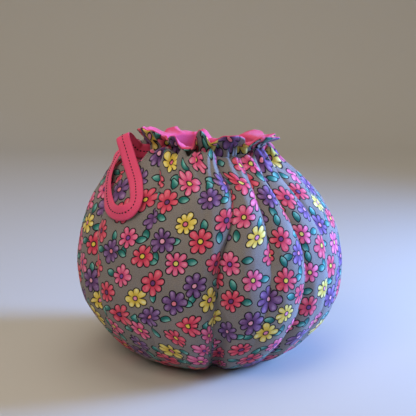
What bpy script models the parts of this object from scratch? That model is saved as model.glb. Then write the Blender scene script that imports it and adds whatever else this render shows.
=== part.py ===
# Tea cosy: a padded, round cover that is drawn in at the neck by a flat tape.
# Its print-side shell is cut as a front and a back panel, each with a lining behind it.
# Metres, +Z up. The hem rests on Z = 0, +X is the right side and -Y is the front.

import math
from collections import namedtuple

import bpy
from mathutils import Vector

MM = 0.001

# Gaps and cloths, in millimetres.
SEAM_GAP = 0.3
LINING_GAP = 0.65
LINING_WALL = 1.2

# The drawstring tape and the ring that it makes in the casing.
TAPE_WIDTH = 11.6
TAPE_WALL = 1.0
TAPE_RING_RADIUS = 42.4
TAPE_HEIGHT = 171.2
TAPE_CLEARANCE = 0.6
RING_STEPS = 60
LOOP_STEPS = 84

# The tape's two legs lie side by side in the buttonhole, each turned out of the ring.
LEG_ASIDE = 0.85
LEG_TURN = 2.2
LEG_TURN_STEPS = 5
FRONT_LEG_RADII = (45.0, 47.5, 52.0)
BACK_LEG_RADII = (53.0, 47.5, 45.0)

# The casing's lining is a plain ring just inside the tape.
LINING_NECK_RADIUS = TAPE_RING_RADIUS - TAPE_WALL / 2 - TAPE_CLEARANCE
LINING_NECK_DROP = 2.0

# Azimuth, in degrees from the front, to which the shoulder is tilted up.
TILT_AZIMUTH = -40.0

# The cloth is pressed down round the buttonhole, fully over one width and fading by another.
PRESSED_WIDTH = 11.0
PRESSED_FADE = 24.0

# Heights at which a fold's azimuth and depth are given.
FOLD_HEIGHTS = (15.0, 90.0, 150.0, 166.0)
FOLD_SHARPNESS = 3.0

# Columns of the cloth between one valley and the next, as shares of the lobe.
LOBE_COLUMNS = (0.0, 0.22, 0.5, 0.78)
BUTTONHOLE_COLUMNS = (0.0, 0.14, 0.33, 0.67)
BUTTONHOLE_LOBE = 1
BUTTONHOLE_COLUMN = 2

# One row a level, from the hem's inner edge up to the frill's rim. Radius is over the lobes.
# Shift moves a level sideways, and tilt lifts its front left and lowers the side across.
# Puff is how far the gathers stand up there, away from where the tape presses them down.
# Share is how much of each fold's depth it has, and ruffle how much of the frill's flare.
Level = namedtuple("Level", "name height radius shift tilt puff share ruffle wall lined")
LEVELS = (
    Level("hem edge", 0.0, 44.0, 1.0, 0.0, 0.0, 0.0, 0.0, 3.0, False),
    Level("hem flat", 0.0, 54.0, 1.0, 0.0, 0.0, 0.3, 0.0, 3.0, True),
    Level("foot turn", 2.2, 62.0, 1.0, 0.0, 0.0, 0.6, 0.0, 3.4, True),
    Level("foot", 9.0, 75.0, 1.0, 0.0, 0.0, 0.85, 0.0, 4.0, True),
    Level("lower skirt", 20.0, 87.0, 1.2, 0.0, 0.0, 1.0, 0.0, 4.0, True),
    Level("skirt", 35.0, 98.5, 1.2, 0.0, 0.0, 1.0, 0.0, 4.0, True),
    Level("low belly", 55.0, 107.5, 0.8, 0.0, 0.0, 1.0, 0.0, 4.0, True),
    Level("belly", 79.0, 110.0, 0.5, 0.0, 0.0, 1.0, 0.0, 4.0, True),
    Level("high belly", 103.0, 107.5, -0.3, 0.0, 0.0, 1.0, 0.0, 4.0, True),
    Level("low shoulder", 125.0, 99.5, -1.5, 0.0, 0.0, 1.0, 0.0, 4.0, True),
    Level("shoulder", 141.0, 89.5, -3.0, 1.5, 0.0, 1.0, 0.0, 4.0, True),
    Level("high shoulder", 153.0, 78.5, -4.5, 2.5, 0.3, 1.0, 0.0, 4.0, True),
    Level("top", 160.5, 68.0, -5.5, 2.5, 1.5, 0.95, 0.0, 3.6, True),
    Level("gather line", 163.6, 57.5, -4.5, 1.5, 5.0, 0.9, 0.0, 2.4, True),
    Level("casing foot", 165.2, 51.0, -3.5, 0.0, 0.0, 0.8, 0.0, 1.2, True),
    Level("casing top", 177.8, 51.0, -3.0, 0.0, 0.0, 0.8, 0.1, 1.2, True),
    Level("frill", 180.6, 51.5, -3.0, 0.0, 0.0, 0.7, 0.5, 1.2, True),
    Level("frill rim", 184.5, 51.5, -3.0, 0.0, 0.0, 0.4, 1.0, 1.2, True),
)
CASING_FOOT = 14
CASING_TOP = 15

# One row a fold, going round from the panel's first side seam. The azimuth is in degrees
# from the front, towards +X, at the neck, shoulder, belly and foot, then the valley's depth
# at the same places.
Fold = namedtuple(
    "Fold", "neck shoulder belly foot neck_depth shoulder_depth belly_depth foot_depth"
)
FRONT_FOLDS = (
    Fold(-90, -90, -90, -90, 5.0, 4.0, 1.5, 5.0),
    Fold(-76, -76, -74, -72, 5.0, 2.0, 1.0, 3.0),
    Fold(-62, -62, -57, -54, 6.0, 4.5, 4.5, 6.0),
    Fold(-48, -45, -42, -38, 5.0, 2.0, 0.8, 3.0),
    Fold(-35, -26, -25, -24, 6.0, 6.0, 2.0, 2.5),
    Fold(-21, -13, -14, -14, 5.0, 1.5, 0.5, 1.5),
    Fold(-7, 1, -6, -9, 4.5, 1.0, 0.3, 1.0),
    Fold(10, 15.5, 3, -3, 7.0, 7.0, 9.0, 16.0),
    Fold(33, 30, 26, 18, 7.0, 9.0, 5.0, 1.5),
    Fold(49, 41, 44, 38, 6.0, 6.5, 4.5, 9.5),
    Fold(64, 57, 60, 57, 6.0, 6.0, 2.5, 4.0),
    Fold(77, 75, 75, 74, 5.0, 2.5, 1.0, 3.5),
)
BACK_FOLDS = (
    Fold(90, 90, 90, 90, 5.0, 4.0, 1.5, 5.0),
    Fold(104, 103, 104, 105, 5.0, 2.5, 1.0, 3.0),
    Fold(118, 120, 121, 121, 6.0, 5.0, 3.5, 6.0),
    Fold(133, 131, 134, 136, 5.0, 2.0, 1.0, 2.5),
    Fold(147, 149, 150, 149, 7.0, 6.5, 5.0, 8.0),
    Fold(163, 162, 160, 161, 5.0, 1.5, 0.5, 1.5),
    Fold(178, 181, 183, 184, 6.0, 7.0, 6.0, 11.0),
    Fold(194, 194, 196, 197, 5.0, 2.0, 1.0, 2.0),
    Fold(209, 212, 210, 208, 6.0, 5.5, 3.0, 6.0),
    Fold(225, 224, 226, 228, 5.0, 2.5, 1.5, 3.0),
    Fold(240, 243, 241, 240, 6.0, 5.0, 4.0, 6.0),
    Fold(255, 256, 257, 256, 5.0, 2.0, 1.0, 3.5),
)
# One row a ruffle of the frill, from azimuth to azimuth round the neck. Flare is how far
# the middle of its rim stands out, rise how far up, and skew over 1 moves that middle on.
Ruffle = namedtuple("Ruffle", "start end flare rise skew")
RUFFLES = (
    Ruffle(-94, -41, 9.0, 5.0, 0.9),
    Ruffle(-41, -21, 10.0, 5.5, 2.2),
    Ruffle(-21, -4.5, 4.0, -3.5, 1.0),
    Ruffle(-4.5, 7, 7.0, 4.5, 1.0),
    Ruffle(7, 37, 11.0, -1.0, 0.9),
    Ruffle(37, 92, 12.0, -4.0, 2.2),
    Ruffle(92, 124, 9.0, -4.0, 0.8),
    Ruffle(124, 164, 8.0, -3.0, 1.1),
    Ruffle(164, 196, 6.0, -7.0, 1.0),
    Ruffle(196, 236, 9.0, -3.5, 1.2),
    Ruffle(236, 266.01, 7.0, -1.0, 0.9),
)
RUFFLE_ROUNDNESS = 0.75
RUFFLE_PINCH = 1.5

# Slits in the side seams, as bottom, top and half the width at mid height. Their sides are
# nearly straight, and close in at the two ends.
Slit = namedtuple("Slit", "bottom top half_width")
LEFT_SLIT = Slit(55.0, 154.0, 12.5)
RIGHT_SLIT = Slit(35.0, 153.0, 10.5)
SLIT_ROUNDNESS = 0.5

# Free part of the tape, from the buttonhole over its fold, down the front, round and back up.
# A row is a point and the way its outer face looks.
LoopPoint = namedtuple("LoopPoint", "x y z face_x face_y face_z")
LOOP_ROUTE = (
    LoopPoint(-56.5, -21.0, 172.5, -0.30, 0.95, 0.05),
    LoopPoint(-61.0, -24.5, 178.0, 0.05, 0.95, 0.35),
    LoopPoint(-65.0, -29.5, 184.0, -0.20, 0.75, 0.65),
    LoopPoint(-67.5, -34.5, 186.1, -0.45, 0.05, 0.90),
    LoopPoint(-66.9, -39.0, 183.1, -0.40, -0.80, 0.50),
    LoopPoint(-64.4, -43.5, 176.4, -0.25, -0.95, 0.15),
    LoopPoint(-60.8, -51.0, 166.6, -0.28, -0.88, 0.38),
    LoopPoint(-56.6, -60.6, 156.2, -0.38, -0.76, 0.55),
    LoopPoint(-55.1, -70.0, 149.5, -0.45, -0.68, 0.57),
    LoopPoint(-54.8, -75.1, 144.7, -0.47, -0.70, 0.52),
    LoopPoint(-56.1, -78.7, 140.2, -0.50, -0.76, 0.38),
    LoopPoint(-59.6, -79.6, 136.2, -0.53, -0.82, 0.18),
    LoopPoint(-64.3, -78.5, 133.6, -0.56, -0.82, 0.05),
    LoopPoint(-69.6, -74.1, 132.6, -0.60, -0.79, 0.05),
    LoopPoint(-74.3, -68.3, 133.9, -0.66, -0.70, 0.20),
    LoopPoint(-77.5, -59.8, 137.7, -0.74, -0.54, 0.38),
    LoopPoint(-79.0, -51.0, 143.8, -0.80, -0.38, 0.46),
    LoopPoint(-79.3, -42.9, 149.8, -0.82, -0.22, 0.52),
    LoopPoint(-78.9, -35.4, 155.2, -0.80, -0.10, 0.58),
    LoopPoint(-77.3, -27.0, 160.3, -0.78, -0.03, 0.62),
    LoopPoint(-74.7, -17.0, 165.7, -0.68, -0.02, 0.73),
    LoopPoint(-70.9, -10.5, 170.4, -0.30, -0.20, 0.93),
    LoopPoint(-63.0, -12.0, 172.5, 0.25, -0.70, 0.65),
)

PRINT_GREY = (0.25, 0.22, 0.20, 1.0)
LINING_PINK = (0.80, 0.07, 0.17, 1.0)
TAPE_PINK = (0.86, 0.08, 0.19, 1.0)


def clear_scene():
    for item in list(bpy.data.objects):
        bpy.data.objects.remove(item, do_unlink=True)


def cloth_material(name, colour):
    material = bpy.data.materials.new(name)
    material.use_nodes = True
    shader = material.node_tree.nodes["Principled BSDF"]
    shader.inputs["Base Color"].default_value = colour
    shader.inputs["Roughness"].default_value = 0.85
    shader.inputs["Metallic"].default_value = 0.0
    return material


def eased(low, high, share):
    smooth = share * share * (3.0 - 2.0 * share)
    return low + (high - low) * smooth


def at_height(values, height):
    """Value at a height, from the values at the foot, belly, shoulder and neck."""
    if height <= FOLD_HEIGHTS[0]:
        return values[0]
    for step in range(len(FOLD_HEIGHTS) - 1):
        low = FOLD_HEIGHTS[step]
        high = FOLD_HEIGHTS[step + 1]
        if height <= high:
            return eased(values[step], values[step + 1], (height - low) / (high - low))
    return values[-1]


def fold_azimuth(fold, height):
    return at_height((fold.foot, fold.belly, fold.shoulder, fold.neck), height)


def fold_depth(fold, height):
    depths = (fold.foot_depth, fold.belly_depth, fold.shoulder_depth, fold.neck_depth)
    return at_height(depths, height)


def slit_opening(slit, level):
    """Half the gap between the two panels at a level, in degrees."""
    half = SEAM_GAP / 2
    if slit.bottom < level.height < slit.top:
        share = (level.height - slit.bottom) / (slit.top - slit.bottom)
        half += slit.half_width * math.sin(math.pi * share) ** SLIT_ROUNDNESS
    return math.degrees(half / (level.radius - fold_depth(FRONT_FOLDS[0], level.height)))


def level_normals():
    """Outward direction of the wall at each level, as a radial and an upward part."""
    runs = []
    for low, high in zip(LEVELS, LEVELS[1:]):
        run = Vector((high.height - low.height, low.radius - high.radius))
        runs.append(run.normalized())
    normals = [runs[0]]
    for before, after in zip(runs, runs[1:]):
        normals.append((before + after).normalized())
    normals.append(runs[-1])
    return normals


LEVEL_NORMALS = level_normals()


def lobe_columns(panel, number):
    """Shares of a lobe at which it has a column of points."""
    if panel == "front" and number == BUTTONHOLE_LOBE:
        return BUTTONHOLE_COLUMNS
    return LOBE_COLUMNS


def panel_columns(panel):
    """Every column of a panel, as the fold before it, the fold after it and its share."""
    folds = FRONT_FOLDS if panel == "front" else BACK_FOLDS
    last = BACK_FOLDS[0] if panel == "front" else FRONT_FOLDS[0]
    columns = []
    for number, fold in enumerate(folds):
        after = folds[number + 1] if number + 1 < len(folds) else last
        for share in lobe_columns(panel, number):
            columns.append((fold, after, share))
    columns.append((folds[-1], last, 1.0))
    return columns


def edge_azimuths(panel, fold, after, level):
    """Azimuths of a lobe's two valleys, drawn back where one is the panel's open side."""
    start = fold_azimuth(fold, level.height)
    end = fold_azimuth(after, level.height)
    if panel == "front":
        if fold is FRONT_FOLDS[0]:
            start += slit_opening(LEFT_SLIT, level)
        if after is BACK_FOLDS[0]:
            end -= slit_opening(RIGHT_SLIT, level)
        return start, end
    if fold is BACK_FOLDS[0]:
        start += slit_opening(RIGHT_SLIT, level)
    if after is FRONT_FOLDS[0]:
        end += 360.0 - slit_opening(LEFT_SLIT, level)
    return start, end


def ruffle_at(azimuth):
    """Flare and rise of the frill's rim at an azimuth in degrees."""
    turned = (azimuth - RUFFLES[0].start) % 360.0 + RUFFLES[0].start
    for ruffle in RUFFLES:
        if turned <= ruffle.end:
            break
    share = ((turned - ruffle.start) / (ruffle.end - ruffle.start)) ** ruffle.skew
    crown = math.sin(math.pi * share) ** RUFFLE_ROUNDNESS
    return (ruffle.flare + RUFFLE_PINCH) * crown - RUFFLE_PINCH, ruffle.rise * crown


def pressed_share(azimuth):
    """How far the gathers are pressed down at an azimuth in radians, from 0 to 1."""
    away = abs(math.degrees(azimuth - buttonhole_azimuth()))
    away = min(away, 360.0 - away)
    share = (PRESSED_FADE - away) / (PRESSED_FADE - PRESSED_WIDTH)
    return eased(0.0, 1.0, min(max(share, 0.0), 1.0))


def cloth_point(panel, column, row, inset, casing_radius, puffed):
    """Point of the cloth at a column and level, set in from the print side by inset."""
    fold, after, share = column
    level = LEVELS[row]
    start, end = edge_azimuths(panel, fold, after, level)
    azimuth = start + (end - start) * share
    flare, rise = ruffle_at(azimuth)
    azimuth = math.radians(azimuth)
    valley = fold_depth(fold, level.height) * (1.0 - share) ** FOLD_SHARPNESS
    valley += fold_depth(after, level.height) * share ** FOLD_SHARPNESS
    radius = level.radius - level.share * valley + flare * level.ruffle
    height = level.height + rise * level.ruffle
    height += level.tilt * math.cos(azimuth - math.radians(TILT_AZIMUTH))
    if puffed:
        height += level.puff * (1.0 - pressed_share(azimuth))
    if casing_radius is None:
        outward = LEVEL_NORMALS[row]
        radius -= outward.x * inset
        height -= outward.y * inset
    else:
        radius = casing_radius
        height -= LINING_NECK_DROP if row == CASING_FOOT else 0.0
    x = level.shift + radius * math.sin(azimuth)
    y = -radius * math.cos(azimuth)
    return Vector((x, y, height)) * MM


def skin_grid(panel, rows, shell_face, inset, casing_radius=None):
    """Rows of points of one face of a cloth. The shell's inner face and the lining's two
    faces lie behind its outer face by the wall and the inset."""
    columns = panel_columns(panel)
    is_lining = casing_radius is not None
    grid = []
    for row in rows:
        radius = casing_radius if row in (CASING_FOOT, CASING_TOP) else None
        depth = 0.0 if shell_face else LEVELS[row].wall + inset
        grid.append([
            cloth_point(panel, column, row, depth, radius, not is_lining) for column in columns
        ])
    return grid


def two_triangles(a, b, c, d, lean_left):
    """Split a four-sided face on the diagonal that runs along the fold's side."""
    if lean_left:
        return [(a, b, c), (a, c, d)]
    return [(a, b, d), (b, c, d)]


def walled_sheet(name, face_grid, back_grid, material, hole=None):
    """Closed sheet between two grids of points. Hole is a row and a column left out."""
    rows = len(face_grid)
    columns = len(face_grid[0])
    points = []
    for grid in (face_grid, back_grid):
        for line in grid:
            points.extend(line)

    def face_index(row, column):
        return row * columns + column

    def back_index(row, column):
        return rows * columns + row * columns + column

    triangles = []
    for row in range(rows - 1):
        for column in range(columns - 1):
            if (row, column) == hole:
                continue
            corners = ((row, column), (row, column + 1), (row + 1, column + 1), (row + 1, column))
            lean_left = column % len(LOBE_COLUMNS) >= len(LOBE_COLUMNS) // 2
            front = [face_index(*corner) for corner in corners]
            triangles += two_triangles(*front, lean_left)
            back = [back_index(*corner) for corner in corners]
            triangles += [turned[::-1] for turned in two_triangles(*back, lean_left)]

    def close_edge(path):
        for here, there in zip(path, path[1:]):
            a = face_index(*here)
            b = face_index(*there)
            c = back_index(*there)
            d = back_index(*here)
            triangles.append((b, a, d))
            triangles.append((b, d, c))

    top = rows - 1
    side = columns - 1
    close_edge([(0, column) for column in range(columns)])
    close_edge([(row, side) for row in range(rows)])
    close_edge([(top, column) for column in range(side, -1, -1)])
    close_edge([(row, 0) for row in range(top, -1, -1)])
    if hole is not None:
        row, column = hole
        close_edge([(row, column), (row + 1, column), (row + 1, column + 1), (row, column + 1), hole])
    return add_object(name, points, triangles, material)


def add_object(name, points, faces, material):
    mesh = bpy.data.meshes.new(name)
    mesh.from_pydata(points, [], faces)
    mesh.validate()
    mesh.shade_smooth()
    mesh.set_sharp_from_angle(angle=math.radians(50.0))
    mesh.materials.append(material)
    item = bpy.data.objects.new(name, mesh)
    bpy.context.collection.objects.link(item)
    return item


def make_outer(panel, material):
    rows = range(len(LEVELS))
    face_grid = skin_grid(panel, rows, True, 0.0)
    back_grid = skin_grid(panel, rows, False, 0.0)
    hole = None
    if panel == "front":
        hole = (CASING_FOOT, BUTTONHOLE_LOBE * len(LOBE_COLUMNS) + BUTTONHOLE_COLUMN)
    return walled_sheet("outer_" + panel, face_grid, back_grid, material, hole)


def make_lining(panel, material):
    rows = [row for row, level in enumerate(LEVELS) if level.lined]
    back_inset = LINING_GAP + LINING_WALL
    face_grid = skin_grid(panel, rows, False, LINING_GAP, LINING_NECK_RADIUS)
    back_grid = skin_grid(panel, rows, False, back_inset, LINING_NECK_RADIUS - LINING_WALL)
    return walled_sheet("lining_" + panel, face_grid, back_grid, material)


def buttonhole_azimuth():
    first = FRONT_FOLDS[BUTTONHOLE_LOBE].neck
    after = FRONT_FOLDS[BUTTONHOLE_LOBE + 1].neck
    return math.radians((first + after) / 2)


def ring_point(azimuth, radius, aside=0.0):
    """Point at the tape's height, at a radius from the casing's middle, moved aside."""
    x = LEVELS[CASING_TOP].shift + radius * math.sin(azimuth) + aside * math.cos(azimuth)
    y = -radius * math.cos(azimuth) + aside * math.sin(azimuth)
    return Vector((x, y, TAPE_HEIGHT))


def leg_turn(side):
    """Quarter turn from the ring out to a leg, on one side of the buttonhole's middle."""
    mid = buttonhole_azimuth()
    points = []
    for step in range(LEG_TURN_STEPS + 1):
        angle = math.pi / 2 * step / LEG_TURN_STEPS
        radius = TAPE_RING_RADIUS + LEG_TURN * (1.0 - math.cos(angle))
        aside = LEG_ASIDE + LEG_TURN * (1.0 - math.sin(angle))
        points.append(ring_point(mid, radius, side * aside))
    return points


def ring_stations():
    """Tape inside the casing, from the back leg's turn all round to the front leg's turn."""
    reach = (LEG_ASIDE + LEG_TURN) / TAPE_RING_RADIUS
    start = buttonhole_azimuth() - reach
    span = 2.0 * math.pi - 2.0 * reach
    points = leg_turn(-1)[::-1]
    for step in range(1, RING_STEPS):
        points.append(ring_point(start - span * step / RING_STEPS, TAPE_RING_RADIUS))
    return points + leg_turn(1)


def smooth_curve(knots, steps):
    """Even steps along a smooth curve through the knots, which may have any number of parts."""
    curve = []
    spans = len(knots) - 3
    for step in range(steps + 1):
        place = spans * step / steps
        span = min(int(place), spans - 1)
        t = place - span
        a, b, c, d = knots[span:span + 4]
        point = []
        for k in range(len(a)):
            point.append(0.5 * (
                2.0 * b[k] + (c[k] - a[k]) * t
                + (2.0 * a[k] - 5.0 * b[k] + 4.0 * c[k] - d[k]) * t * t
                + (3.0 * b[k] - a[k] - 3.0 * c[k] + d[k]) * t ** 3
            ))
        curve.append(point)
    return curve


def loop_stations():
    """Free part of the tape, out of the buttonhole and back into it, with its outer face."""
    mid = buttonhole_azimuth()
    aside = Vector((math.cos(mid), math.sin(mid), 0.0))
    knots = [(*ring_point(mid, radius, LEG_ASIDE), *(-aside)) for radius in FRONT_LEG_RADII]
    knots += [tuple(point) for point in LOOP_ROUTE]
    knots += [(*ring_point(mid, radius, -LEG_ASIDE), *aside) for radius in BACK_LEG_RADII]
    return smooth_curve(knots, LOOP_STEPS)


def tape_sections():
    """Centre points of the whole closed tape, with the direction of its width at each."""
    ring = ring_stations()
    loop = loop_stations()
    points = ring + [Vector(row[:3]) for row in loop]
    faces = [None] * len(ring) + [Vector(row[3:]) for row in loop]
    count = len(points)
    widths = []
    for step in range(count):
        ahead = points[(step + 1) % count] - points[step - 1]
        if faces[step] is None:
            widths.append(Vector((0.0, 0.0, -1.0)))
        else:
            widths.append(ahead.cross(faces[step]).normalized())
    return points, widths


def make_drawstring(material):
    points, widths = tape_sections()
    count = len(points)
    corners = []
    for step, (point, width) in enumerate(zip(points, widths)):
        ahead = (points[(step + 1) % count] - points[step - 1]).normalized()
        face = width.cross(ahead).normalized()
        half_width = width * (TAPE_WIDTH / 2)
        half_wall = face * (TAPE_WALL / 2)
        for side, up in ((-1, 1), (1, 1), (1, -1), (-1, -1)):
            corners.append((point + half_width * side + half_wall * up) * MM)
    triangles = []
    for step in range(count):
        here = 4 * step
        there = 4 * ((step + 1) % count)
        for k in range(4):
            m = (k + 1) % 4
            triangles += two_triangles(here + k, here + m, there + m, there + k, True)
    return add_object("drawstring", corners, triangles, material)


def centre_on_box(items, measured):
    """Move every mesh so that the measured ones' box is centred over the origin."""
    xs = [vertex.co.x for item in measured for vertex in item.data.vertices]
    ys = [vertex.co.y for item in measured for vertex in item.data.vertices]
    offset = Vector((-(min(xs) + max(xs)) / 2, -(min(ys) + max(ys)) / 2, 0.0))
    for item in items:
        for vertex in item.data.vertices:
            vertex.co += offset


def main():
    clear_scene()
    print_cloth = cloth_material("printed cotton", PRINT_GREY)
    pink_cloth = cloth_material("pink cotton", LINING_PINK)
    pink_tape = cloth_material("pink tape", TAPE_PINK)
    shells = [
        make_outer("front", print_cloth),
        make_outer("back", print_cloth),
        make_lining("front", pink_cloth),
        make_lining("back", pink_cloth),
    ]
    drawstring = make_drawstring(pink_tape)
    centre_on_box(shells + [drawstring], shells)


main()
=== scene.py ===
# Tea cosy: the finish of a padded printed cover with its pink lining, frill and tape.
# Sizes are in millimetres until a mesh is made, and azimuths in degrees from the front, towards +X.
import math

import bpy
import numpy as np
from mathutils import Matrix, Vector, noise


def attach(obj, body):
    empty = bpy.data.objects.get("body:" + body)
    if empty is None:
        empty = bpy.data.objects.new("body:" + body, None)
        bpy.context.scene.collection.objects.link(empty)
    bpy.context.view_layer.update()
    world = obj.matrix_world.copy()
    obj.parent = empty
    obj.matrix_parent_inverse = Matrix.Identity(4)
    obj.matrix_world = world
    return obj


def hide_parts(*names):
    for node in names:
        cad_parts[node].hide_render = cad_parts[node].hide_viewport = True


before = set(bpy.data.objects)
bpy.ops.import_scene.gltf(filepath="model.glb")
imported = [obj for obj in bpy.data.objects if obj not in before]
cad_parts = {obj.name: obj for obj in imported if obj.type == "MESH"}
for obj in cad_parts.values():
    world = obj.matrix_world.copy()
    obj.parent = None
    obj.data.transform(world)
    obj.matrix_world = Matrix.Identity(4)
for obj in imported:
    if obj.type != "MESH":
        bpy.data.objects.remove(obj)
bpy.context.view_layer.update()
mm = 0.001
print("frame loaded")


# Camera at the photograph's viewing angle.
cameraView = {
    "place": (-0.00141, -0.80031, 0.29135),
    "pitch": 12.03,      # degrees down
    "lens": 85.34,       # on a 36 mm sensor
}


def addCamera():
    data = bpy.data.cameras.new("view")
    data.lens = cameraView["lens"]
    data.sensor_width = 36.0
    camera = bpy.data.objects.new("view", data)
    camera.location = cameraView["place"]
    camera.rotation_euler = (math.radians(90.0 - cameraView["pitch"]), 0.0, 0.0)
    bpy.context.collection.objects.link(camera)
    bpy.context.scene.camera = camera
    bpy.context.scene.view_settings.view_transform = "Standard"   # keeps the print's strong colours


addCamera()


# Shape of the cloth. One row a level: height, radius over the lobes, sideways shift, tilt, how far
# the gathers puff up, share of the folds' depth, share of the frill's flare, wall, and the depth
# of the small pleats.
cosyLevels = {
    "hemEdge": (0.0, 44.0, 1.0, 0.0, 0.0, 0.0, 0.0, 3.0, 0.0),
    "hemFlat": (0.0, 54.0, 1.0, 0.0, 0.0, 0.3, 0.0, 3.0, 0.3),
    "footTurn": (2.2, 62.0, 1.0, 0.0, 0.0, 0.6, 0.0, 3.4, 1.0),
    "foot": (9.0, 75.0, 1.0, 0.0, 0.0, 0.85, 0.0, 4.0, 0.9),
    "lowerSkirt": (20.0, 87.0, 1.2, 0.0, 0.0, 1.0, 0.0, 4.0, 0.3),
    "skirt": (35.0, 98.5, 1.2, 0.0, 0.0, 1.0, 0.0, 4.0, 0.0),
    "lowBelly": (55.0, 107.5, 0.8, 0.0, 0.0, 1.0, 0.0, 4.0, 0.0),
    "belly": (79.0, 110.0, 0.5, 0.0, 0.0, 1.0, 0.0, 4.0, 0.0),
    "highBelly": (103.0, 107.5, -0.3, 0.0, 0.0, 1.0, 0.0, 4.0, 0.0),
    "lowShoulder": (125.0, 99.5, -1.5, 0.0, 0.0, 1.0, 0.0, 4.0, 0.0),
    "shoulder": (141.0, 89.5, -3.0, 1.5, 0.0, 1.0, 0.0, 4.0, 0.35),
    "highShoulder": (153.0, 78.5, -4.5, 2.5, 0.3, 1.0, 0.0, 4.0, 1.1),
    "top": (160.5, 68.0, -5.5, 2.5, 3.5, 0.95, 0.0, 3.6, 2.1),
    "gatherLine": (163.6, 57.5, -4.5, 1.5, 9.5, 0.9, 0.0, 2.4, 2.6),
    "casingFoot": (165.2, 51.0, -3.5, 0.0, 0.0, 0.8, 0.0, 1.2, 1.5),
    "casingTop": (177.8, 51.0, -3.0, 0.0, 0.0, 0.8, 0.1, 1.2, 1.9),
    "frill": (180.6, 51.5, -3.0, 0.0, 0.0, 0.7, 0.5, 0.9, 1.2),
    "frillRim": (184.5, 51.5, -3.0, 0.0, 0.0, 0.4, 1.0, 0.8, 0.5),
}
levelNames = list(cosyLevels)
clothShape = {
    "middle": (-0.489, 0.739),   # brings the cosy's box over the origin
    "tiltAzimuth": -40.0,
    "rowStep": 2.3,
    "neckRowStep": 1.0,
    "lobeSteps": 24,
    "crowdToFold": 0.105,        # how far the columns crowd towards the folds
    "foldRound": 0.55,           # part of a fold's depth in its wide, round trough
    "foldRoundPower": 3.0,
    "foldCreasePower": 5.5,
    "pleatPitch": 7.2,
    "pressedAzimuth": -69.0,
    "pressedWidth": 11.0,
    "pressedFade": 24.0,
    "seamGap": 0.3,
    "liningGap": 0.5,
    "liningWall": 1.1,
    "rimGap": 0.12,
    "liningNeck": 41.3,
    "liningNeckDrop": 2.0,
    "liningBridge": 3.2,
    "turnedRise": (-6.0, 7.0),
    "neckDip": 6.0,              # the gathered neck hangs lower here at the back
    "neckDipAzimuth": 163.0,
    "neckDipWidth": 30.0,
    "paddingWave": (26.0, 38.0, 1.5),    # mm round and up, strength
    "looseFrom": (6.0, 25.0),    # the padding's unevenness starts at this height, over so much
    "looseTo": (176.0, 16.0),
    "turnFade": 3.5,             # above the casing the layers turn to the cloth's own direction
    "rimFade": 5.0,
    "liningRimWall": 0.8,
    "buttonhole": (0.37, 0.65),  # share of the second lobe's width
    "hemRound": 0.9,
    "liningHemRound": 0.4,
    "rimRound": 0.3,
}
# Uneven parts of the cloth: degrees round a wave, mm up a wave or a fixed place, seed, strength.
clothNoise = {
    "pleatWander": (11.0, 60.0, 3.7, 2.4),
    "pleatDepth": (5.0, 1.3, 8.1, 0.8),
    "drag": (3.4, 34.0, 5.5, 0.7),
    "pucker": (9.0, 7.5, 9.2, 1.1),
    "puffHeight": (6.0, 2.2, 4.4, 0.75),
}

# A fold is its azimuth at the neck, shoulder, belly and foot, then its depth at each.
foldHeights = (15.0, 90.0, 150.0, 166.0)
frontFolds = [
    (-90, -90, -90, -90, 5.0, 4.0, 1.5, 5.0),
    (-76, -76, -74, -72, 5.0, 2.0, 1.0, 3.0),
    (-62, -62, -57, -54, 6.0, 4.5, 4.5, 6.0),
    (-48, -45, -42, -38, 5.0, 2.0, 0.8, 3.0),
    (-35, -26, -25, -27, 6.0, 6.0, 2.0, 2.5),
    (-21, -13, -16, -20, 5.0, 1.5, 0.5, 1.5),
    (-7, 1, -8, -13, 4.5, 1.0, 0.3, 0.6),
    (10, 15.5, 3.5, 1.5, 7.0, 7.0, 12.0, 20.0),
    (33, 30, 26, 18, 7.0, 9.0, 5.0, 1.5),
    (49, 41, 44, 38, 6.0, 6.5, 4.5, 9.5),
    (64, 57, 60, 57, 6.0, 6.0, 2.5, 4.0),
    (77, 75, 75, 74, 5.0, 2.5, 1.0, 3.5),
    (90, 90, 90, 90, 5.0, 4.0, 1.5, 5.0),
]
backFolds = [
    (90, 90, 90, 90, 5.0, 4.0, 1.5, 5.0),
    (104, 103, 104, 105, 5.0, 2.5, 1.0, 3.0),
    (118, 120, 121, 121, 6.0, 5.0, 3.5, 6.0),
    (133, 131, 134, 136, 5.0, 2.0, 1.0, 2.5),
    (147, 149, 150, 149, 7.0, 6.5, 5.0, 8.0),
    (163, 162, 160, 161, 5.0, 1.5, 0.5, 1.5),
    (178, 181, 183, 184, 6.0, 7.0, 6.0, 11.0),
    (194, 194, 196, 197, 5.0, 2.0, 1.0, 2.0),
    (209, 212, 210, 208, 6.0, 5.5, 3.0, 6.0),
    (225, 224, 226, 228, 5.0, 2.5, 1.5, 3.0),
    (240, 243, 241, 240, 6.0, 5.0, 4.0, 6.0),
    (255, 256, 257, 256, 5.0, 2.0, 1.0, 3.5),
    (270, 270, 270, 270, 5.0, 4.0, 1.5, 5.0),
]
# The deep front fold stays open near the foot, and the lobe at its left stands out there.
openFold = {"fold": 7, "openLeft": 0.06, "openRight": 0.34, "top": 72.0, "fade": 34.0}
lowLobe = {"azimuth": -6.5, "width": 9.0, "out": 4.5, "top": 70.0, "fade": 36.0}
# A side slit is its bottom, its top and half its width.
leftSlit = (55.0, 154.0, 12.5)
rightSlit = (35.0, 153.0, 10.5)

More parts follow.
